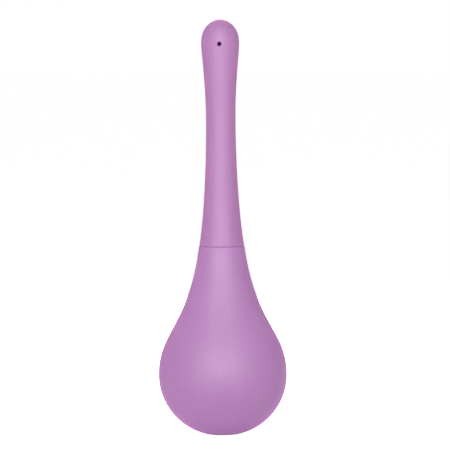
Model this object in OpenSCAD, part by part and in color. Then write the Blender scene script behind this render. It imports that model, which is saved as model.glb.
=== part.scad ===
// Enema bulb: a soft squeeze bulb with a nozzle that screws into its neck.
// Millimetres, +Z up. The origin is the centre of the bulb's flat foot.

/* [Bulb] */
// Length of the bulb from its foot to the joint with the nozzle
bulb_len = 113.5; // [100:0.1:130]
// Radius of the bulb at its widest ring, the belly
belly_r = 38.5; // [32:0.5:44]
// Height of the belly above the foot
belly_h = 36.4; // [32:0.1:42]
// Radius of the flat foot
foot_r = 4.5; // [3:0.5:8]
// Share of the way from the foot to the belly's side that pulls the bottom flat
foot_pull = 0.46; // [0.35:0.01:0.55]
// Share of the belly's height that pulls the side upright below the belly
under_pull = 0.6; // [0.5:0.01:0.65]
// Thickness of the bulb's wall
bulb_wall = 3; // [2:0.1:4]
// Thickness of the bulb's floor above the foot
floor_wall = 4; // [3:0.1:6]
// Radius of the bulb's neck at the joint
neck_r = 13.8; // [13.2:0.1:15.5]
// Slope of the neck at the joint, in degrees from upright
neck_slope = 7.7; // [4:0.1:11]
// Share of the shoulder's height that pulls it upright above the belly
belly_pull = 0.34; // [0.25:0.01:0.4]
// Share of the shoulder's height that pulls it along the neck's slope
neck_pull = 0.62; // [0.45:0.01:0.7]

/* [Nozzle] */
// Length of the nozzle from the joint to its tip
nozzle_len = 135.9; // [110:0.1:160]
// How far the edge of the nozzle's skirt lies inside the neck's edge at the joint
skirt_step = 0.3; // [0:0.1:0.8]
// Slope of the skirt at the joint, in degrees from upright
skirt_slope = 9; // [5:0.5:12]
// Share of the skirt's height that pulls it along its slope
skirt_pull = 0.36; // [0.25:0.01:0.45]
// Radius of the waist, the nozzle's thinnest ring
waist_r = 8.9; // [8:0.1:10.5]
// Share of the skirt's height that pulls it upright below the waist
waist_pull = 0.13; // [0.05:0.01:0.3]
// Radius of the club, the nozzle's widest ring near its tip
club_r = 11.45; // [10:0.05:13]
// Height of the club above the waist
club_h = 46; // [35:0.5:55]
// Share of the club's height that pulls it upright above the waist
club_low_pull = 0.49; // [0.35:0.01:0.6]
// Share of the club's height that pulls it upright below the club
club_top_pull = 0.13; // [0.05:0.01:0.3]
// Length of the rounded cap above the club
cap_len = 14; // [11:0.5:18]
// Share of the cap's length that pulls it upright above the club
cap_pull = 0.69; // [0.5:0.01:0.8]
// Share of the club's radius that pulls the tip flat
tip_pull = 0.45; // [0.35:0.01:0.6]
// Wall of the nozzle from the skirt to the waist
nozzle_wall = 2.7; // [2.2:0.1:3.6]
// Thickness of the tip above the channel
tip_wall = 5; // [3:0.1:7]

/* [Outlets] */
// Number of outlets round the club
outlet_count = 3; // [1:1:6]
// Radius of an outlet
outlet_r = 1.35; // [0.8:0.05:1.6]
// Distance of the outlets below the tip
outlet_drop = 14.4; // [11:0.1:17]
// Depth of the bevel at an outlet's rim
outlet_bevel = 0.2; // [0.1:0.05:0.5]

/* [Neck socket] */
// Width of the soft lip round the socket's rim
neck_lip = 1.4; // [1:0.1:1.8]
// How far the rim and the heel stand out from the barrel
rim_step = 1.4; // [1:0.1:1.8]
// Thickness of the socket's rim
rim_t = 3; // [2.4:0.1:4]
// Wall of the socket's barrel outside the thread
barrel_wall = 1.8; // [1.4:0.1:2.2]
// Length of the socket from its rim to its heel
socket_len = 17; // [15.5:0.1:22]
// Thickness of the heel that catches under the neck
heel_t = 1.8; // [1.2:0.1:2.4]
// Number of barbs that bite into the neck
barb_count = 2; // [1:1:3]
// How far a barb stands out from the barrel
barb_step = 1.2; // [0.6:0.1:1.6]
// Length of a barb
barb_len = 2.2; // [1.4:0.1:2.6]

/* [Screw plug] */
// Length of the spigot below the joint
spigot_len = 13.7; // [13:0.1:15]
// Wall of the spigot inside the thread
spigot_wall = 2.7; // [1.8:0.1:3.2]
// Width of the skirt's lip round the plug's flange
skirt_lip = 1.8; // [1.4:0.1:2.2]
// Thickness of the plug's flange
flange_t = 2; // [1.4:0.1:3]
// How far the flange stands out from the collar
collar_step = 2.3; // [1.8:0.1:3]
// Length of the collar above the flange
collar_len = 7; // [4:0.1:10]
// Wall of the collar
collar_wall = 2.2; // [1.4:0.1:3]

/* [Thread] */
// Rise of the thread in one turn
pitch = 3.5; // [3.2:0.1:4]
// Turns of each ridge
ridge_turns = 2.25; // [1.5:0.25:2.5]
// Height of a ridge above its root
ridge_h = 1.2; // [0.9:0.1:1.4]
// Width of a ridge at its root
ridge_root_w = 1.8; // [1.4:0.1:2]
// Width of a ridge at its crest
ridge_crest_w = 1; // [0.6:0.1:1.2]
// Gap between a crest and the root that it runs in
thread_gap = 0.3; // [0.2:0.05:0.4]

/* [Seal and fits] */
// Thickness of the seal ring's cord
seal_cord = 1.8; // [1.4:0.1:2.2]
// How far the ridges stand out past the seal's seat, so that the ring stays on
seal_catch = 0.35; // [0.2:0.05:0.5]
// Gap round the seal ring
seal_gap = 0.1; // [0.05:0.05:0.2]
// Gap between the bulb and the nozzle at the joint
joint_gap = 0.1; // [0.1:0.05:0.4]
// Gap round the pieces that are pushed or bonded into each other
fit_gap = 0.05; // [0.02:0.01:0.1]
// Radius of the round edges at the joint
edge_round = 0.4; // [0.3:0.1:0.8]

/* [Hidden] */
$fn = 96;

// steps of the curves and of one turn of the thread
curve_steps = 36;
edge_steps = 4;
ridge_steps = 36;
// steps over which a ridge rises from its root
ridge_fade = 6;
// share of its height at which a ridge starts and ends
ridge_low = 0.2;
// how deep a ridge's root lies in the wall that carries it
ridge_sink = 0.4;
// length by which a cut runs past the surface that it opens
past = 1;

// heights
joint_z = bulb_len + joint_gap;
tip_z = joint_z + nozzle_len;
club_z = tip_z - cap_len;
waist_z = club_z - club_h;
outlet_z = tip_z - outlet_drop;
heel_z = bulb_len - socket_len;
collar_z = joint_z + flange_t + collar_len;

// radii, from the outside inwards
rim_r = neck_r - neck_lip;
barrel_r = rim_r - rim_step;
socket_bore_r = barrel_r - barrel_wall;
crest_r = socket_bore_r - thread_gap;
spigot_r = crest_r - ridge_h;
plug_bore_r = spigot_r - spigot_wall;
skirt_r = neck_r - skirt_step;
flange_r = skirt_r - skirt_lip;
collar_r = flange_r - collar_step;
channel_r = waist_r - nozzle_wall;

// the seal ring rests on its seat below the flange, in a counterbore of the socket
seal_seat_r = crest_r - seal_catch;
seal_ring_r = seal_seat_r + seal_gap + seal_cord / 2;
seal_z = joint_z - seal_gap - seal_cord / 2;
seal_space_r = seal_ring_r + seal_cord / 2 + seal_gap;
seal_floor_z = seal_z - seal_cord / 2 - seal_gap;

// the plug's ridge starts half a pitch from the socket's ridge
ridge_span = pitch * ridge_turns;
plug_ridge_z = joint_z - spigot_len + ridge_root_w / 2 + 2 * fit_gap;
socket_ridge_z = plug_ridge_z + pitch / 2 - pitch;

// Points of a cubic curve from a to d.
function bezier(a, b, c, d) = [
    for (i = [0:curve_steps])
        let (t = i / curve_steps, u = 1 - t)
        u * u * u * a + 3 * u * u * t * b + 3 * u * t * t * c + t * t * t * d
];

// Points of an arc, or of an ellipse's arc.
function arc(centre, rx, rz, from, to, steps) = [
    for (i = [0:steps])
        let (a = from + (to - from) * i / steps)
        centre + [rx * cos(a), rz * sin(a)]
];

// The list without its first point.
function tail(points) = [for (i = [1:len(points) - 1]) points[i]];

// A rising outline moved inwards by a wall.
function inset(points, wall) = [
    for (i = [0:len(points) - 1])
        let (
            a = points[max(i - 1, 0)],
            b = points[min(i + 1, len(points) - 1)],
            t = (b - a) / norm(b - a)
        )
        points[i] + wall * [-t[1], t[0]]
];

// The bulb's shoulder, from the belly up to the neck's round edge.
function shoulder() =
    let (
        top_z = bulb_len - edge_round,
        rise = top_z - belly_h,
        out = tan(neck_slope) * neck_pull * rise
    )
    bezier(
        [belly_r, belly_h],
        [belly_r, belly_h + belly_pull * rise],
        [neck_r + out, top_z - neck_pull * rise],
        [neck_r, top_z]
    );

// The bulb's outside, from the foot's middle to the neck's middle.
function bulb_outline() =
    let (
        foot = [foot_r, 0],
        side = [belly_r, belly_h],
        edge = [neck_r - edge_round, bulb_len - edge_round]
    )
    concat(
        [[0, 0]],
        bezier(
            foot,
            foot + [foot_pull * (belly_r - foot_r), 0],
            side - [0, under_pull * belly_h],
            side
        ),
        tail(shoulder()),
        tail(arc(edge, edge_round, edge_round, 0, 90, edge_steps)),
        [[0, bulb_len]]
    );

// The water space inside the bulb, up to the neck's top.
function cavity_outline() =
    let (side = inset(shoulder(), bulb_wall))
    concat(
        arc([0, belly_h], side[0][0], belly_h - floor_wall, -90, 0, curve_steps),
        tail(side),
        [[0, side[curve_steps][1]]]
    );

// The nozzle's side, from the skirt's round edge up to the waist.
function skirt_side() =
    let (
        low_z = joint_z + edge_round,
        rise = waist_z - low_z,
        pull = skirt_pull * rise
    )
    bezier(
        [skirt_r, low_z],
        [skirt_r - tan(skirt_slope) * pull, low_z + pull],
        [waist_r, waist_z - waist_pull * rise],
        [waist_r, waist_z]
    );

// The nozzle's outside, from the joint to the tip.
function nozzle_outline() =
    let (edge = [skirt_r - edge_round, joint_z + edge_round])
    concat(
        [[0, joint_z]],
        arc(edge, edge_round, edge_round, -90, 0, edge_steps),
        tail(skirt_side()),
        tail(bezier(
            [waist_r, waist_z],
            [waist_r, waist_z + club_low_pull * club_h],
            [club_r, club_z - club_top_pull * club_h],
            [club_r, club_z]
        )),
        tail(bezier(
            [club_r, club_z],
            [club_r, club_z + cap_pull * cap_len],
            [tip_pull * club_r, tip_z],
            [0, tip_z]
        ))
    );

// The channel inside the nozzle: it follows the skirt, passes the waist and ends in a dome.
function channel_outline() =
    let (side = inset(skirt_side(), nozzle_wall))
    concat(
        [[0, side[0][1]]],
        side,
        arc([0, outlet_z], channel_r, outlet_drop - tip_wall, 0, 90, curve_steps)
    );

// The socket's outside, grown by a gap, from its heel to its rim.
function socket_outline(gap) =
    let (
        low = heel_z + heel_t,
        high = bulb_len - rim_t,
        space = (high - low) / barb_count
    )
    concat(
        [[0, heel_z - gap], [barrel_r + rim_step + gap, heel_z - gap]],
        [[barrel_r + rim_step + gap, low + gap], [barrel_r + gap, low + gap]],
        [
            for (i = [0:barb_count - 1])
                let (z = low + space * (i + 0.5) - barb_len / 2)
                each [
                    [barrel_r + gap, z],
                    [barrel_r + barb_step + gap, z + barb_len + gap],
                    [barrel_r + gap, z + barb_len + gap]
                ]
        ],
        [[barrel_r + gap, high - gap], [rim_r + gap, high - gap]],
        [[rim_r + gap, bulb_len], [0, bulb_len]]
    );

// One helical ridge on a wall of radius root_r, rising from low_z, with its crest at top_r.
module ridge(root_r, top_r, low_z) {
    steps = round(ridge_turns * ridge_steps);
    inward = top_r < root_r;
    sunk_r = root_r + (inward ? ridge_sink : -ridge_sink);
    rings = [
        for (i = [0:steps])
            let (
                a = 360 * i / ridge_steps,
                z = low_z + pitch * i / ridge_steps,
                grown = min(1, i / ridge_fade, (steps - i) / ridge_fade),
                r = sunk_r + (top_r - sunk_r) * (ridge_low + (1 - ridge_low) * grown),
                ring = [
                    [sunk_r, z - ridge_root_w / 2],
                    [r, z - ridge_crest_w / 2],
                    [r, z + ridge_crest_w / 2],
                    [sunk_r, z + ridge_root_w / 2]
                ]
            )
            each [
                for (k = [0:3])
                    let (p = ring[inward ? 3 - k : k])
                    [p[0] * cos(a), p[0] * sin(a), p[1]]
            ]
    ];
    last = 4 * steps;
    sides = [
        for (i = [0:steps - 1], k = [0:3])
            let (a = 4 * i + k, b = 4 * i + (k + 1) % 4)
            each [[a, b, b + 4], [a, b + 4, a + 4]]
    ];
    ends = [[3, 2, 1], [3, 1, 0], [last, last + 1, last + 2], [last, last + 2, last + 3]];
    polyhedron(rings, concat(sides, ends));
}

// Turns an outline of [radius, height] points round the axis.
module revolve(points) {
    rotate_extrude() polygon(points);
}

// A soft hollow bulb. Its neck is moulded round the socket.
module bulb() {
    color([0.74, 0.57, 0.77]) difference() {
        revolve(bulb_outline());
        intersection() {
            revolve(cavity_outline());
            cylinder(r = 2 * belly_r, h = heel_z + heel_t + fit_gap);
        }
        revolve(socket_outline(fit_gap));
        translate([0, 0, bulb_len - past]) cylinder(r = rim_r + fit_gap, h = 2 * past);
    }
}

// The rigid socket in the neck, with the inner thread and the seal's counterbore.
module neck_socket() {
    color([0.93, 0.93, 0.91]) {
        difference() {
            revolve(socket_outline(0));
            translate([0, 0, heel_z - past])
                cylinder(r = socket_bore_r, h = socket_len + 2 * past);
            translate([0, 0, seal_floor_z])
                cylinder(r = seal_space_r, h = bulb_len - seal_floor_z + past);
        }
        ridge(socket_bore_r, socket_bore_r - ridge_h, socket_ridge_z);
    }
}

// The sealing ring on the plug, under its flange.
module seal_ring() {
    color([0.85, 0.84, 0.80]) translate([0, 0, seal_z])
        rotate_extrude() translate([seal_ring_r, 0]) circle(r = seal_cord / 2);
}

// The rigid plug that closes the nozzle: a spigot with the outer thread, a flange and a collar.
module screw_plug() {
    color([0.93, 0.93, 0.91]) difference() {
        union() {
            translate([0, 0, joint_z - spigot_len])
                cylinder(r = spigot_r, h = spigot_len + flange_t);
            translate([0, 0, seal_floor_z]) cylinder(r = seal_seat_r, h = joint_z - seal_floor_z);
            translate([0, 0, joint_z]) cylinder(r = flange_r, h = flange_t);
            translate([0, 0, joint_z]) cylinder(r = collar_r, h = flange_t + collar_len);
            ridge(spigot_r, crest_r, plug_ridge_z);
        }
        translate([0, 0, joint_z - spigot_len - past])
            cylinder(r = plug_bore_r, h = spigot_len + flange_t + collar_len + 2 * past);
        translate([0, 0, joint_z + flange_t])
            cylinder(r = collar_r - collar_wall, h = collar_len + past);
    }
}

// One outlet, drilled outwards from the channel, with a bevelled rim at the surface.
module outlet() {
    surface_r = lookup(outlet_z, [for (p = tail(nozzle_outline())) [p[1], p[0]]]);
    rotate([0, 90, 0]) cylinder(r = outlet_r, h = surface_r + past);
    translate([surface_r - outlet_bevel, 0, 0]) rotate([0, 90, 0])
        cylinder(r1 = outlet_r, r2 = outlet_r + outlet_bevel + past, h = outlet_bevel + past);
}

// The hollow nozzle, with the plug's seat in its skirt and the outlets round its club.
module nozzle() {
    color([0.77, 0.58, 0.77]) difference() {
        revolve(nozzle_outline());
        intersection() {
            revolve(channel_outline());
            translate([0, 0, collar_z]) cylinder(r = skirt_r, h = nozzle_len);
        }
        translate([0, 0, joint_z - past])
            cylinder(r = flange_r + fit_gap, h = flange_t + fit_gap + past);
        translate([0, 0, joint_z])
            cylinder(r = collar_r + fit_gap, h = collar_z + fit_gap - joint_z);
        for (i = [0:outlet_count - 1])
            translate([0, 0, outlet_z]) rotate([0, 0, 360 * i / outlet_count - 90]) outlet();
    }
}

bulb();
neck_socket();
seal_ring();
screw_plug();
nozzle();
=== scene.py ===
import math

import bpy
from mathutils import Matrix, Vector


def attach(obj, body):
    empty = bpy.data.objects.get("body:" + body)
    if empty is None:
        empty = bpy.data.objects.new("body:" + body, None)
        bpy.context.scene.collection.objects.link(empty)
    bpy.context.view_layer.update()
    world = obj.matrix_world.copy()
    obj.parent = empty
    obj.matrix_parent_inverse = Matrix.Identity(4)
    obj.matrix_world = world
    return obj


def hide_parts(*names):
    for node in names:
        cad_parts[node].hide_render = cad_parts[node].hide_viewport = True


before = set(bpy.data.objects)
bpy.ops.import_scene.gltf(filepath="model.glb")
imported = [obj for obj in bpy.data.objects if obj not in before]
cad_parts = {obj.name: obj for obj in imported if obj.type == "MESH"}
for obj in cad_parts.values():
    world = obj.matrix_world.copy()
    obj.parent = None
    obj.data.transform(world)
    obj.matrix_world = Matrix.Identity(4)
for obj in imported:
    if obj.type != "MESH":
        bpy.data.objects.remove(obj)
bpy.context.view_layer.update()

mm = 0.001
samePoint = 1e-4     # millimetres: outline points nearer than this are one
seamDistance = 2e-7  # metres: closes the seam and the poles of a turned mesh
print("stage: frame loaded, nodes", sorted(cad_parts))


def curvePoints(start, pullStart, pullEnd, end, steps):
    # outlines are lists of (radius, height) in millimetres: this is a cubic curve from start to end
    points = []
    for i in range(steps + 1):
        t = i / steps
        u = 1 - t
        weights = (u * u * u, 3 * u * u * t, 3 * u * t * t, t * t * t)
        corners = (start, pullStart, pullEnd, end)
        points.append(tuple(sum(w * c[k] for w, c in zip(weights, corners)) for k in (0, 1)))
    return points


def arcPoints(centre, across, up, fromAngle, toAngle, steps):
    # part of an ellipse, angles in degrees
    points = []
    for i in range(steps + 1):
        a = math.radians(fromAngle + (toAngle - fromAngle) * i / steps)
        points.append((centre[0] + across * math.cos(a), centre[1] + up * math.sin(a)))
    return points


def straightPoints(start, end, steps):
    # points after start, up to and with end
    return [
        tuple(start[k] + (end[k] - start[k]) * i / steps for k in (0, 1))
        for i in range(1, steps + 1)
    ]


def movedInwards(points, wall):
    # a rising outline, moved towards the axis by a wall
    moved = []
    for i, point in enumerate(points):
        a = Vector(points[max(i - 1, 0)])
        b = Vector(points[min(i + 1, len(points) - 1)])
        along = (b - a).normalized()
        moved.append((point[0] - wall * along[1], point[1] + wall * along[0]))
    return moved


def joinedOutline(*stretches):
    # the stretches end to end, with no point twice
    outline = []
    for stretch in stretches:
        for point in stretch:
            if not outline or math.dist(outline[-1], point) > samePoint:
                outline.append(point)
    return outline


def outlineMesh(name, outline):
    # the outline as an open line of edges in the XZ plane, in metres
    mesh = bpy.data.meshes.new(name)
    places = [(r * mm, 0, z * mm) for r, z in outline]
    mesh.from_pydata(places, [(i, i + 1) for i in range(len(places) - 1)], [])
    return mesh


def nodeTree(name, kind, inputs, outputs):
    # an empty tree with its named sockets
    tree = bpy.data.node_groups.new(name, kind)
    for socketName, socketKind, value in inputs:
        socket = tree.interface.new_socket(socketName, in_out="INPUT", socket_type=socketKind)
        if value is not None:
            socket.default_value = value
    for socketName, socketKind in outputs:
        tree.interface.new_socket(socketName, in_out="OUTPUT", socket_type=socketKind)
    start = tree.nodes.new("NodeGroupInput")
    end = tree.nodes.new("NodeGroupOutput")
    return tree, start.outputs, end.inputs


def plug(tree, value, socket):
    # links an output, or writes a value
    if isinstance(value, bpy.types.NodeSocket):
        tree.links.new(value, socket)
    elif value is not None:
        socket.default_value = value


def addNode(tree, kind, inputs=None, **settings):
    node = tree.nodes.new(kind)
    for name, value in settings.items():
        setattr(node, name, value)
    for key, value in (inputs or {}).items():
        plug(tree, value, node.inputs[key])
    return node


def mathNode(tree, operation, a, b=None, c=None):
    node = addNode(tree, "ShaderNodeMath", operation=operation)
    for socket, value in zip(node.inputs, (a, b, c)):
        plug(tree, value, socket)
    return node.outputs[0]


def axisRadius(tree, x, y):
    # how far a point lies from the Z axis
    squares = [mathNode(tree, "MULTIPLY", part, part) for part in (x, y)]
    return mathNode(tree, "SQRT", mathNode(tree, "ADD", *squares))


def groupNode(tree, group, inputs):
    kind = "GeometryNodeGroup" if tree.bl_idname == "GeometryNodeTree" else "ShaderNodeGroup"
    node = tree.nodes.new(kind)
    node.node_tree = group
    for key, value in inputs.items():
        plug(tree, value, node.inputs[key])
    return node.outputs


def makeLatheTree():
    # turns an outline of points, in their order, round the Z axis
    tree, given, result = nodeTree(
        "lathe", "GeometryNodeTree",
        [("Outline", "NodeSocketGeometry", None), ("Segments", "NodeSocketInt", 96)],
        [("Mesh", "NodeSocketGeometry")],
    )
    count = addNode(tree, "GeometryNodeAttributeDomainSize", {"Geometry": given["Outline"]})
    along = count.outputs["Point Count"]
    rings = mathNode(tree, "ADD", given["Segments"], 1)
    grid = addNode(tree, "GeometryNodeMeshGrid", {
        "Size X": 1.0, "Size Y": 1.0, "Vertices X": rings, "Vertices Y": along,
    })
    # the grid counts its points column by column: half a point keeps the division clear of rounding
    index = addNode(tree, "GeometryNodeInputIndex").outputs[0]
    column = mathNode(tree, "FLOOR", mathNode(tree, "DIVIDE", mathNode(tree, "ADD", index, 0.5), along))
    row = mathNode(tree, "SUBTRACT", index, mathNode(tree, "MULTIPLY", column, along))
    place = addNode(tree, "GeometryNodeInputPosition").outputs[0]
    sample = addNode(
        tree, "GeometryNodeSampleIndex", data_type="FLOAT_VECTOR", domain="POINT",
    )
    plug(tree, given["Outline"], sample.inputs["Geometry"])
    plug(tree, place, sample.inputs["Value"])
    plug(tree, row, sample.inputs["Index"])
    point = addNode(tree, "ShaderNodeSeparateXYZ", {0: sample.outputs[0]}).outputs
    turn = mathNode(tree, "MULTIPLY", mathNode(tree, "DIVIDE", column, given["Segments"]), 2 * math.pi)
    placed = addNode(tree, "ShaderNodeCombineXYZ", {
        0: mathNode(tree, "MULTIPLY", point[0], mathNode(tree, "COSINE", turn)),
        1: mathNode(tree, "MULTIPLY", point[0], mathNode(tree, "SINE", turn)),
        2: point[2],
    })
    turned = addNode(tree, "GeometryNodeSetPosition", {
        "Geometry": grid.outputs["Mesh"], "Position": placed.outputs[0],
    })
    closed = addNode(tree, "GeometryNodeMergeByDistance", {
        "Geometry": turned.outputs[0], "Distance": seamDistance,
    })
    plug(tree, closed.outputs[0], result["Mesh"])
    return tree


def makeTurnedPieceTree(lathe):
    # a turned piece of one material
    tree, given, result = nodeTree(
        "turned piece", "GeometryNodeTree",
        [
            ("Geometry", "NodeSocketGeometry", None),
            ("Segments", "NodeSocketInt", 96),
            ("Material", "NodeSocketMaterial", None),
        ],
        [("Geometry", "NodeSocketGeometry")],
    )
    turned = groupNode(tree, lathe, {"Outline": given["Geometry"], "Segments": given["Segments"]})
    real = addNode(tree, "GeometryNodeRealizeInstances", {"Geometry": turned["Mesh"]})
    done = addNode(tree, "GeometryNodeSetMaterial", {
        "Geometry": real.outputs[0], "Material": given["Material"],
    })
    plug(tree, done.outputs[0], result["Geometry"])
    return tree


def makeNozzleTree(lathe):
    # a turned piece with a ring of drilled outlets, whose rims are rounded
    tree, given, result = nodeTree(
        "drilled nozzle", "GeometryNodeTree",
        [
            ("Geometry", "NodeSocketGeometry", None),
            ("Segments", "NodeSocketInt", 96),
            ("Outlet Cutter", "NodeSocketObject", None),
            ("Cutter Segments", "NodeSocketInt", 40),
            ("Outlet Count", "NodeSocketInt", 3),
            ("Outlet Height", "NodeSocketFloat", 0.2),
            ("Club Radius", "NodeSocketFloat", 0.01),
            ("First Outlet Angle", "NodeSocketFloat", 0.0),
            ("Material", "NodeSocketMaterial", None),
        ],
        [("Geometry", "NodeSocketGeometry")],
    )
    turned = groupNode(tree, lathe, {"Outline": given["Geometry"], "Segments": given["Segments"]})
    cutterLine = addNode(tree, "GeometryNodeObjectInfo", {"Object": given["Outlet Cutter"]})
    cutter = groupNode(tree, lathe, {
        "Outline": cutterLine.outputs["Geometry"], "Segments": given["Cutter Segments"],
    })
    # the rim follows the round of the club: it sinks by half the square of its side step over the radius
    place = addNode(tree, "GeometryNodeInputPosition").outputs[0]
    parts = addNode(tree, "ShaderNodeSeparateXYZ", {0: place}).outputs
    sink = mathNode(tree, "DIVIDE", mathNode(tree, "MULTIPLY", parts[1], parts[1]),
                    mathNode(tree, "MULTIPLY", given["Club Radius"], -2))
    bent = addNode(tree, "GeometryNodeSetPosition", {
        "Geometry": cutter["Mesh"],
        "Offset": addNode(tree, "ShaderNodeCombineXYZ", {2: sink}).outputs[0],
    })
    lying = addNode(tree, "GeometryNodeTransform", {
        "Geometry": bent.outputs[0], "Rotation": (0, math.pi / 2, 0),
    })
    line = addNode(tree, "GeometryNodeMeshLine", {"Count": given["Outlet Count"], "Offset": (0, 0, 0)})
    index = addNode(tree, "GeometryNodeInputIndex").outputs[0]
    angle = mathNode(tree, "ADD", given["First Outlet Angle"], mathNode(
        tree, "MULTIPLY", mathNode(tree, "DIVIDE", index, given["Outlet Count"]), 2 * math.pi))
    copies = addNode(tree, "GeometryNodeInstanceOnPoints", {
        "Points": line.outputs[0], "Instance": lying.outputs[0],
        "Rotation": addNode(tree, "ShaderNodeCombineXYZ", {2: angle}).outputs[0],
    })
    raised = addNode(tree, "GeometryNodeTransform", {
        "Geometry": copies.outputs[0],
        "Translation": addNode(tree, "ShaderNodeCombineXYZ", {2: given["Outlet Height"]}).outputs[0],
    })
    cutters = addNode(tree, "GeometryNodeRealizeInstances", {"Geometry": raised.outputs[0]})
    drilled = addNode(tree, "GeometryNodeMeshBoolean", operation="DIFFERENCE", solver="EXACT")
    plug(tree, turned["Mesh"], drilled.inputs["Mesh 1"])
    plug(tree, cutters.outputs[0], drilled.inputs["Mesh 2"])
    real = addNode(tree, "GeometryNodeRealizeInstances", {"Geometry": drilled.outputs["Mesh"]})
    done = addNode(tree, "GeometryNodeSetMaterial", {
        "Geometry": real.outputs[0], "Material": given["Material"],
    })
    plug(tree, done.outputs[0], result["Geometry"])
    return tree


def bakedPiece(name, line, tree, values, sharpAngle=35):
    # runs the tree on the line mesh and keeps the result as a plain mesh
    source = bpy.data.objects.new(name + "Line", line)
    bpy.context.scene.collection.objects.link(source)
    modifier = source.modifiers.new("build", "NODES")
    modifier.node_group = tree
    for item in tree.interface.items_tree:
        if item.item_type == "SOCKET" and item.in_out == "INPUT" and item.name in values:
            modifier[item.identifier] = values[item.name]
    view = bpy.context.evaluated_depsgraph_get()
    mesh = bpy.data.meshes.new_from_object(source.evaluated_get(view))
    mesh.name = name
    bpy.data.objects.remove(source)
    mesh.polygons.foreach_set("use_smooth", [True] * len(mesh.polygons))
    mesh.set_sharp_from_angle(angle=math.radians(sharpAngle))
    piece = bpy.data.objects.new(name, mesh)
    bpy.context.scene.collection.objects.link(piece)
    print("stage: piece", name, len(mesh.polygons), "faces")
    return piece


# each noise's detail and roughness, and the middle part of a noise that is stretched to 0 to 1
skinNoise = {
    "speckle": (3.0, 0.6), "mottle": (2.0, 0.5), "streak": (2.0, 0.5), "grain": (4.0, 0.65),
    "middle": (0.3, 0.7),
}


def makeSkinTree():
    # matte moulded skin: fine speckle, slow mottling, faint upright streaks and the grain of the mould
    tree, given, result = nodeTree(
        "moulded skin", "ShaderNodeTree",
        [
            ("Vector", "NodeSocketVector", None),
            ("Speckle Size", "NodeSocketFloat", 0.0005),
            ("Mottle Size", "NodeSocketFloat", 0.02),
            ("Grain Size", "NodeSocketFloat", 0.0003),
            ("Streak Angle", "NodeSocketFloat", 0.12),
            ("Streak Length", "NodeSocketFloat", 0.06),
        ],
        [
            ("Speckle", "NodeSocketFloat"), ("Mottle", "NodeSocketFloat"),
            ("Streak", "NodeSocketFloat"), ("Grain", "NodeSocketFloat"),
        ],
    )

    def noise(kind, vector, size):
        detail, roughness = skinNoise[kind]
        return addNode(tree, "ShaderNodeTexNoise", {
            "Vector": vector, "Scale": mathNode(tree, "DIVIDE", 1.0, size),
            "Detail": detail, "Roughness": roughness,
        }).outputs[0]

    def spread(value):
        low, high = skinNoise["middle"]
        return addNode(tree, "ShaderNodeMapRange", {
            "Value": value, "From Min": low, "From Max": high,
        }).outputs[0]

    place = given["Vector"]
    plug(tree, spread(noise("speckle", place, given["Speckle Size"])), result["Speckle"])
    plug(tree, spread(noise("mottle", place, given["Mottle Size"])), result["Mottle"])
    plug(tree, noise("grain", place, given["Grain Size"]), result["Grain"])

    # the streaks run up the piece, at the same angle round its axis
    x, y, z = addNode(tree, "ShaderNodeSeparateXYZ", {0: place}).outputs
    radius = axisRadius(tree, x, y)
    perLength = mathNode(tree, "DIVIDE", given["Streak Angle"], given["Streak Length"])
    around = addNode(tree, "ShaderNodeCombineXYZ", {
        0: mathNode(tree, "DIVIDE", x, radius),
        1: mathNode(tree, "DIVIDE", y, radius),
        2: mathNode(tree, "MULTIPLY", z, perLength),
    }).outputs[0]
    plug(tree, spread(noise("streak", around, given["Streak Angle"])), result["Streak"])
    return tree


def newMaterial(name):
    material = bpy.data.materials.new(name)
    material.use_nodes = True
    tree = material.node_tree
    shader = tree.nodes["Principled BSDF"]
    return material, tree, shader


def mixColour(tree, factor, a, b):
    node = addNode(tree, "ShaderNodeMix", data_type="RGBA")
    plug(tree, factor, node.inputs["Factor"])
    plug(tree, a, node.inputs[6])
    plug(tree, b, node.inputs[7])
    return node.outputs[2]


def rangeOf(tree, value, low, high):
    # spreads a 0 to 1 mask between two values
    return addNode(tree, "ShaderNodeMapRange", {
        "Value": value, "To Min": low, "To Max": high,
    }).outputs[0]


def skinMarks(tree, skin, look):
    # the marks of the moulded skin at this look's sizes
    sizes = {
        "Vector": addNode(tree, "ShaderNodeTexCoord").outputs["Object"],
        "Speckle Size": look["speckleSize"] * mm,
        "Mottle Size": look["mottleSize"] * mm,
        "Grain Size": look["grainSize"] * mm,
    }
    if "streaks" in look:
        sizes["Streak Angle"] = look["streakAngle"]
        sizes["Streak Length"] = look["streakLength"] * mm
    return groupNode(tree, skin, sizes)


def addFinish(tree, shader, marks, look):
    # roughness that varies with the speckle, the mould's grain as a bump, and the gloss
    plug(tree, rangeOf(tree, marks["Speckle"], *look["roughness"]), shader.inputs["Roughness"])
    bump = addNode(tree, "ShaderNodeBump", {
        "Strength": look["grainStrength"], "Distance": look["grainDepth"] * mm, "Height": marks["Grain"],
    })
    plug(tree, bump.outputs[0], shader.inputs["Normal"])
    shader.inputs["IOR"].default_value = look["ior"]
    shader.inputs["Specular IOR Level"].default_value = look["gloss"]


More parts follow.
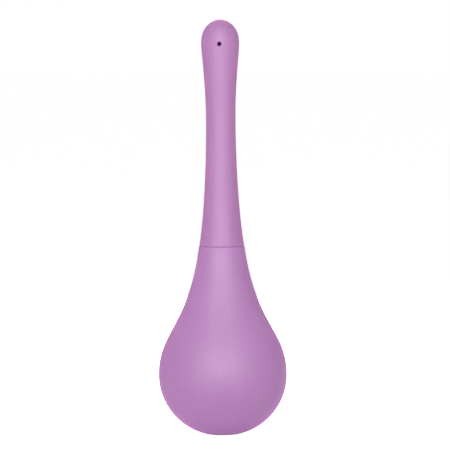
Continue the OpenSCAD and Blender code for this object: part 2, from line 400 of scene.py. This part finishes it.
def rubberMaterial(name, skin, look):
    material, tree, shader = newMaterial(name)
    marks = skinMarks(tree, skin, look)
    streaked = rangeOf(tree, marks["Streak"], 0.0, look["streaks"])
    mottled = rangeOf(tree, marks["Mottle"], 0.0, 1 - look["streaks"])
    tone = mathNode(tree, "ADD", streaked, mottled)
    plain = mixColour(tree, tone, (*look["deepColour"], 1), (*look["colour"], 1))
    flecks = mathNode(tree, "MULTIPLY", marks["Speckle"], look["speckle"])
    flecked = mixColour(tree, flecks, plain, (*look["fleckColour"], 1))
    plug(tree, flecked, shader.inputs["Base Color"])
    addFinish(tree, shader, marks, look)
    shader.inputs["Diffuse Roughness"].default_value = look["soften"]
    shader.inputs["Sheen Weight"].default_value = look["sheen"]
    shader.inputs["Sheen Roughness"].default_value = look["sheenSpread"]
    shader.inputs["Sheen Tint"].default_value = (*look["sheenTint"], 1)
    return material


def addPaintedChannelGlow(material, look):
    # painted light: an emission glow stands in for the little light that comes through the wall, so the
    # channel behind the outlets isn't black
    tree = material.node_tree
    place = addNode(tree, "ShaderNodeTexCoord").outputs["Object"]
    x, y, z = addNode(tree, "ShaderNodeSeparateXYZ", {0: place}).outputs
    radius = axisRadius(tree, x, y)
    near = mathNode(tree, "LESS_THAN", radius, look["radius"] * mm)
    level = mathNode(tree, "COMPARE", z, look["height"] * mm, look["reach"] * mm)
    inside = mathNode(tree, "MULTIPLY", near, level)
    # painted light: the channel's inside emits this colour, though no lamp lights it
    glow = mixColour(tree, inside, (0, 0, 0, 1), (*look["colour"], 1))
    shader = tree.nodes["Principled BSDF"]
    plug(tree, glow, shader.inputs["Emission Color"])
    shader.inputs["Emission Strength"].default_value = 1.0


def plasticMaterial(name, skin, look):
    material, tree, shader = newMaterial(name)
    marks = skinMarks(tree, skin, look)
    tone = mixColour(tree, marks["Mottle"], (*look["deepColour"], 1), (*look["colour"], 1))
    plug(tree, tone, shader.inputs["Base Color"])
    addFinish(tree, shader, marks, look)
    return material


skinTree = makeSkinTree()

# colours are linear, sizes in millimetres, the streaks' angle in radians
bulbLook = {
    "colour": (0.458, 0.21, 0.481), "deepColour": (0.438, 0.198, 0.461),
    "fleckColour": (0.52, 0.275, 0.54), "speckle": 0.4, "speckleSize": 1.1, "mottleSize": 22.0,
    "streaks": 0.7, "streakAngle": 0.12, "streakLength": 60.0,
    "grainSize": 0.35, "grainDepth": 0.02, "grainStrength": 0.35,
    "roughness": (0.57, 0.63), "ior": 1.5, "gloss": 0.5, "soften": 1.0,
    "sheen": 1.0, "sheenSpread": 0.4, "sheenTint": (0.38, 0.05, 0.36),
}
nozzleLook = {
    "colour": (0.457, 0.201, 0.458), "deepColour": (0.44, 0.189, 0.441),
    "fleckColour": (0.505, 0.26, 0.505), "speckle": 0.35, "speckleSize": 1.0, "mottleSize": 18.0,
    "streaks": 0.7, "streakAngle": 0.2, "streakLength": 60.0,
    "grainSize": 0.3, "grainDepth": 0.015, "grainStrength": 0.3,
    "roughness": (0.57, 0.63), "ior": 1.5, "gloss": 0.5, "soften": 1.0,
    "sheen": 1.0, "sheenSpread": 0.4, "sheenTint": (0.38, 0.05, 0.36),
}
sealLook = {
    "colour": (0.60, 0.59, 0.56), "deepColour": (0.56, 0.55, 0.52),
    "fleckColour": (0.66, 0.65, 0.62), "speckle": 0.2, "speckleSize": 0.3, "mottleSize": 4.0,
    "streaks": 0.0, "streakAngle": 0.2, "streakLength": 10.0,
    "grainSize": 0.2, "grainDepth": 0.01, "grainStrength": 0.2,
    "roughness": (0.3, 0.4), "ior": 1.45, "gloss": 0.5, "soften": 0.0,
    "sheen": 0.0, "sheenSpread": 0.5, "sheenTint": (1, 1, 1),
}
plasticLook = {
    "colour": (0.80, 0.79, 0.76), "deepColour": (0.76, 0.75, 0.72),
    "speckleSize": 0.8, "mottleSize": 6.0,
    "grainSize": 0.5, "grainDepth": 0.01, "grainStrength": 0.15,
    "roughness": (0.5, 0.58), "ior": 1.5, "gloss": 0.25,
}
bulbRubber = rubberMaterial("bulbRubber", skinTree, bulbLook)
nozzleRubber = rubberMaterial("nozzleRubber", skinTree, nozzleLook)
sealRubber = rubberMaterial("sealRubber", skinTree, sealLook)
whitePlastic = plasticMaterial("whitePlastic", skinTree, plasticLook)
print("stage: materials made")

# millimetres, shared by the bulb and the nozzle: their screw joint and what they hold of it
jointSizes = {
    "bulbTop": 113.5, "gap": 0.1, "fit": 0.05, "neckRadius": 13.8, "skirtRadius": 13.5, "edgeRound": 0.4,
    "rimRadius": 12.4, "rimThickness": 3.0, "barrelRadius": 11.0, "socketLength": 17.0, "heel": 1.8,
    "barbs": 2, "barbStep": 1.2, "barbLength": 2.2,
    "flangeRadius": 11.7, "flangeThickness": 2.0, "collarRadius": 9.4, "collarLength": 7.0,
}

latheTree = makeLatheTree()
turnedPieceTree = makeTurnedPieceTree(latheTree)

# millimetres, slopes in degrees, pulls as shares of their stretch
bulbSizes = {
    "segments": 192, "bellyRadius": 38.5, "bellyHeight": 36.4, "footRadius": 4.5,
    "wall": 3.0, "floorWall": 4.0, "neckSlope": 7.7, "bellyPull": 0.34, "neckPull": 0.62,
    "footPull": 0.46, "underPull": 0.6,
    "footSteps": 4, "underSteps": 64, "shoulderSteps": 72, "edgeSteps": 8, "floorSteps": 40,
    "heelLap": 0.02,
}


def bulbShoulder():
    s, j = bulbSizes, jointSizes
    top = j["bulbTop"] - j["edgeRound"]
    rise = top - s["bellyHeight"]
    out = math.tan(math.radians(s["neckSlope"])) * s["neckPull"] * rise
    return curvePoints(
        (s["bellyRadius"], s["bellyHeight"]),
        (s["bellyRadius"], s["bellyHeight"] + s["bellyPull"] * rise),
        (j["neckRadius"] + out, top - s["neckPull"] * rise),
        (j["neckRadius"], top), s["shoulderSteps"],
    )


def bulbOutline():
    s, j = bulbSizes, jointSizes
    foot, belly = (s["footRadius"], 0), (s["bellyRadius"], s["bellyHeight"])
    under = curvePoints(
        foot, (foot[0] + s["footPull"] * (belly[0] - foot[0]), 0),
        (belly[0], belly[1] * (1 - s["underPull"])), belly, s["underSteps"],
    )
    shoulder = bulbShoulder()
    inside = list(reversed(movedInwards(shoulder, s["wall"])))
    heelTop = j["bulbTop"] - j["socketLength"] + j["heel"] + j["fit"]
    barrel = j["barrelRadius"] + j["fit"]
    rim = j["rimRadius"] + j["fit"]
    rimFloor = j["bulbTop"] - j["rimThickness"] - j["fit"]
    low = heelTop - j["fit"]
    space = (rimFloor + j["fit"] - low) / j["barbs"]
    neckBarbs = []
    for i in reversed(range(j["barbs"])):
        z = low + space * (i + 0.5) - j["barbLength"] / 2
        top = z + j["barbLength"] + j["fit"]
        neckBarbs += [(barrel, top), (barrel + j["barbStep"], top), (barrel, z)]
    cavity = [point for point in inside if point[1] < heelTop]
    edge = (j["neckRadius"] - j["edgeRound"], j["bulbTop"] - j["edgeRound"])
    middle = (0, s["bellyHeight"])
    floorRise = s["bellyHeight"] - s["floorWall"]
    return joinedOutline(
        [(0, 0)],
        straightPoints((0, 0), foot, s["footSteps"]),
        under, shoulder,
        arcPoints(edge, j["edgeRound"], j["edgeRound"], 0, 90, s["edgeSteps"]),
        [(rim, j["bulbTop"]), (rim, rimFloor), (barrel, rimFloor)],
        neckBarbs,
        [(barrel, heelTop), (cavity[0][0] - s["heelLap"], heelTop)],
        cavity,
        arcPoints(middle, inside[-1][0], floorRise, 0, -90, s["floorSteps"]),
    )


softBulb = bakedPiece("softBulb", outlineMesh("bulbOutline", bulbOutline()), turnedPieceTree, {
    "Segments": bulbSizes["segments"], "Material": bulbRubber,
})

# millimetres, slopes in degrees, pulls as shares of their stretch
nozzleSizes = {
    "segments": 160, "length": 135.9, "skirtSlope": 9.0, "waistRadius": 8.9, "clubRadius": 11.45,
    "clubHeight": 46.0, "capLength": 14.0, "wall": 2.7, "tipWall": 5.0,
    "skirtPull": 0.36, "waistPull": 0.13, "clubLowPull": 0.49, "clubTopPull": 0.13,
    "capPull": 0.69, "tipPull": 0.45,
    "outlets": 3, "firstOutletAngle": -90.0, "outletRadius": 1.35, "outletDrop": 14.4, "outletRim": 0.2,
    "cutterRise": 0.02, "cutterOver": 0.6, "cutterSegments": 40,
    "skirtSteps": 64, "clubSteps": 56, "capSteps": 48, "edgeSteps": 8,
    "channelSteps": 20, "channelEndSteps": 32,
}


def nozzleOutline():
    s, j = nozzleSizes, jointSizes
    low = j["bulbTop"] + j["gap"]
    tip = low + s["length"]
    club = tip - s["capLength"]
    waist = club - s["clubHeight"]
    outlet = tip - s["outletDrop"]
    skirtLow = low + j["edgeRound"]
    rise = waist - skirtLow
    pull = s["skirtPull"] * rise
    skirt = curvePoints(
        (j["skirtRadius"], skirtLow),
        (j["skirtRadius"] - math.tan(math.radians(s["skirtSlope"])) * pull, skirtLow + pull),
        (s["waistRadius"], waist - s["waistPull"] * rise),
        (s["waistRadius"], waist), s["skirtSteps"],
    )
    clubSide = curvePoints(
        (s["waistRadius"], waist),
        (s["waistRadius"], waist + s["clubLowPull"] * s["clubHeight"]),
        (s["clubRadius"], club - s["clubTopPull"] * s["clubHeight"]),
        (s["clubRadius"], club), s["clubSteps"],
    )
    cap = curvePoints(
        (s["clubRadius"], club), (s["clubRadius"], club + s["capPull"] * s["capLength"]),
        (s["tipPull"] * s["clubRadius"], tip), (0, tip), s["capSteps"],
    )
    edge = (j["skirtRadius"] - j["edgeRound"], skirtLow)
    flange = j["flangeRadius"] + j["fit"]
    flangeTop = low + j["flangeThickness"] + j["fit"]
    collar = j["collarRadius"] + j["fit"]
    collarTop = low + j["flangeThickness"] + j["collarLength"] + j["fit"]
    channel = s["waistRadius"] - s["wall"]
    channelRise = s["outletDrop"] - s["tipWall"]
    channelEnd = arcPoints((0, outlet), channel, channelRise, 0, 90, s["channelEndSteps"])
    inside = [point for point in movedInwards(skirt, s["wall"]) if point[1] > collarTop]
    return joinedOutline(
        [(flange, low)],
        arcPoints(edge, j["edgeRound"], j["edgeRound"], -90, 0, s["edgeSteps"]),
        skirt, clubSide, cap,
        list(reversed(channelEnd)),
        straightPoints((channel, outlet), (channel, waist), s["channelSteps"]),
        list(reversed(inside)),
        [(inside[0][0], collarTop), (collar, collarTop)],
        [(collar, flangeTop), (flange, flangeTop), (flange, low)],
    )


nozzleTop = jointSizes["bulbTop"] + jointSizes["gap"] + nozzleSizes["length"]
outletHeight = nozzleTop - nozzleSizes["outletDrop"]
# millimetres: the painted glow stays inside this radius and this near to the outlets' height; its colour
# is the painted light's
paintedChannelGlowLook = {"radius": 8.5, "height": outletHeight, "reach": 7.0, "colour": (0.03, 0.003, 0.03)}
addPaintedChannelGlow(nozzleRubber, paintedChannelGlowLook)


def outletCutterOutline():
    # drills from the channel outwards: a straight bore that flares to a round rim at the surface
    s = nozzleSizes
    r, rim = s["outletRadius"], s["outletRim"]
    surface = s["clubRadius"] + s["cutterRise"]
    end = surface + s["cutterOver"]
    flare = arcPoints((r + rim, surface - rim), rim, rim, 180, 90, s["edgeSteps"])
    return joinedOutline([(0, 0), (r, 0)], flare, [(r + rim, end), (0, end)])


nozzleTree = makeNozzleTree(latheTree)
cutterLine = bpy.data.objects.new("outletCutter", outlineMesh("outletCutter", outletCutterOutline()))
bpy.context.scene.collection.objects.link(cutterLine)
softNozzle = bakedPiece("softNozzle", outlineMesh("nozzleOutline", nozzleOutline()), nozzleTree, {
    "Segments": nozzleSizes["segments"], "Material": nozzleRubber, "Outlet Cutter": cutterLine,
    "Cutter Segments": nozzleSizes["cutterSegments"], "Outlet Count": nozzleSizes["outlets"],
    "Outlet Height": outletHeight * mm, "Club Radius": nozzleSizes["clubRadius"] * mm,
    "First Outlet Angle": math.radians(nozzleSizes["firstOutletAngle"]),
})
bpy.data.objects.remove(cutterLine)

# millimetres: the ring's cord, its middle line's radius and height, and its facets
sealSizes = {"segments": 128, "cord": 1.8, "radius": 9.55, "height": 112.6, "cordSteps": 32}


def sealOutline():
    s = sealSizes
    half = s["cord"] / 2
    return arcPoints((s["radius"], s["height"]), half, half, 0, 360, s["cordSteps"])


softSeal = bakedPiece("softSeal", outlineMesh("sealOutline", sealOutline()), turnedPieceTree, {
    "Segments": sealSizes["segments"], "Material": sealRubber,
})

# the socket and the plug keep their solids and get the plastic
for name in ("neck_socket", "screw_plug"):
    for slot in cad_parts[name].material_slots:
        slot.material = whitePlastic

for piece, node, body, slotName in (
    (softBulb, "bulb", "bulb", "bulb_rubber"),
    (softNozzle, "nozzle", "nozzle", "nozzle_rubber"),
    (softSeal, "seal_ring", "seal", "seal_rubber"),
):
    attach(piece, body)
    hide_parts(node)
print("stage: pieces placed")


def grey(level):
    return (level, level, level, 1)


def seenDirectly(tree):
    # 1 for what the camera, a gloss or clear plastic shows, 0 for light that only bounces
    path = addNode(tree, "ShaderNodeLightPath").outputs
    shown = mathNode(tree, "MAXIMUM", path["Is Camera Ray"], path["Is Glossy Ray"])
    return mathNode(tree, "MAXIMUM", shown, path["Is Transmission Ray"])


def awayFrom(azimuth, elevation):
    # the direction from the object, azimuth 0 being the front
    a, e = math.radians(azimuth), math.radians(elevation)
    return Vector((math.sin(a) * math.cos(e), -math.cos(a) * math.cos(e), math.sin(e)))


# the radius in metres, how much the seen floor is lit and how much it glows, and the tone of its bounce
floorLook = {"radius": 12.0, "corners": 96, "cameraTint": 0.9, "cameraGlow": 0.905, "bounce": 0.86}


def makeFloor():
    look = floorLook
    bpy.ops.mesh.primitive_circle_add(
        vertices=look["corners"], radius=look["radius"], fill_type="NGON", location=(0, 0, 0),
    )
    floor = bpy.context.object
    floor.name = "studioFloor"
    material = bpy.data.materials.new("studioFloor")
    material.use_nodes = True
    tree = material.node_tree
    tree.nodes.clear()
    output = addNode(tree, "ShaderNodeOutputMaterial")
    lit = addNode(tree, "ShaderNodeBsdfDiffuse", {"Color": grey(look["cameraTint"])})
    glow = addNode(tree, "ShaderNodeEmission", {"Color": grey(1), "Strength": look["cameraGlow"]})
    shown = addNode(tree, "ShaderNodeAddShader", {0: lit.outputs[0], 1: glow.outputs[0]})
    other = addNode(tree, "ShaderNodeBsdfDiffuse", {"Color": grey(look["bounce"])})
    mixed = addNode(tree, "ShaderNodeMixShader", {
        0: seenDirectly(tree), 1: other.outputs[0], 2: shown.outputs[0],
    })
    plug(tree, mixed.outputs[0], output.inputs["Surface"])
    floor.data.materials.append(material)


worldLook = {"ambient": 0.1, "background": 1.0}


def makeWorld():
    world = bpy.data.worlds.new("studio")
    bpy.context.scene.world = world
    world.use_nodes = True
    tree = world.node_tree
    tree.nodes.clear()
    output = addNode(tree, "ShaderNodeOutputWorld")
    ambient, white = (
        addNode(tree, "ShaderNodeBackground", {"Color": grey(1), "Strength": worldLook[key]})
        for key in ("ambient", "background")
    )
    mixed = addNode(tree, "ShaderNodeMixShader", {
        0: seenDirectly(tree), 1: ambient.outputs[0], 2: white.outputs[0],
    })
    plug(tree, mixed.outputs[0], output.inputs["Surface"])


lampPlace = {"aimHeight": 0.125, "distance": 1.25}  # metres
lampLook = {
    # azimuth and elevation in degrees from the front, size in metres, power in watts
    "keyLeft": {"azimuth": -25, "elevation": 12, "size": (0.5, 0.5), "power": 7.5},
    "keyRight": {"azimuth": 25, "elevation": 12, "size": (0.5, 0.5), "power": 6.6},
    "back": {"azimuth": 180, "elevation": 15, "size": (0.5, 0.5), "power": 13.0, "gloss": False},
    # two large soft panels that only show as the broad sheen down the front
    "sheenLow": {"azimuth": 0, "elevation": 8, "size": (1.6, 0.7), "power": 25.5, "colour": False},
    "sheenHigh": {"azimuth": 0, "elevation": 48, "size": (1.4, 1.0), "power": 14.6, "colour": False},
}


def makeLamps():
    aim = Vector((0, 0, lampPlace["aimHeight"]))
    for name, look in lampLook.items():
        lamp = bpy.data.lights.new(name, "AREA")
        lamp.shape = "RECTANGLE"
        lamp.size, lamp.size_y = look["size"]
        lamp.energy = look["power"]
        holder = bpy.data.objects.new(name, lamp)
        bpy.context.scene.collection.objects.link(holder)
        away = awayFrom(look["azimuth"], look["elevation"])
        holder.location = aim + away * lampPlace["distance"]
        holder.rotation_mode = "QUATERNION"
        holder.rotation_quaternion = (-away).to_track_quat("-Z", "Y")
        holder.visible_camera = False
        holder.visible_diffuse = look.get("colour", True)
        holder.visible_glossy = look.get("gloss", True)


# degrees and metres: metresAcross is the picture's width at the object, and axisPixel is where the
# point at the middle height of the axis lies in a picture of so many pixels
cameraSet = {
    "azimuth": 2.9, "elevation": 2.8, "roll": -0.47, "distance": 3.0, "metresAcross": 0.27045,
    "axisPixel": (221.62, 227.01), "pixels": 450, "middle": 0.125, "sensor": 36, "clip": (0.05, 50),
}


def makeCamera():
    c = cameraSet
    camera = bpy.data.cameras.new("camera")
    camera.sensor_width = c["sensor"]
    camera.lens = c["sensor"] * c["distance"] / c["metresAcross"]
    camera.clip_start, camera.clip_end = c["clip"]
    holder = bpy.data.objects.new("camera", camera)
    bpy.context.scene.collection.objects.link(holder)
    away = awayFrom(c["azimuth"], c["elevation"])
    level = (-away).to_track_quat("-Z", "Y").to_matrix().to_4x4()
    turn = level @ Matrix.Rotation(math.radians(c["roll"]), 4, "Z")
    right, up = turn.col[0].to_3d(), turn.col[1].to_3d()
    perPixel = c["metresAcross"] / c["pixels"]
    aside = (c["pixels"] / 2 - c["axisPixel"][0]) * perPixel
    above = (c["axisPixel"][1] - c["pixels"] / 2) * perPixel
    place = Vector((0, 0, c["middle"])) + away * c["distance"] + right * aside + up * above
    holder.matrix_world = Matrix.Translation(place) @ turn
    bpy.context.scene.camera = holder


makeFloor()
makeWorld()
makeLamps()
makeCamera()
bpy.context.scene.view_settings.view_transform = "Standard"
print("stage: studio ready")
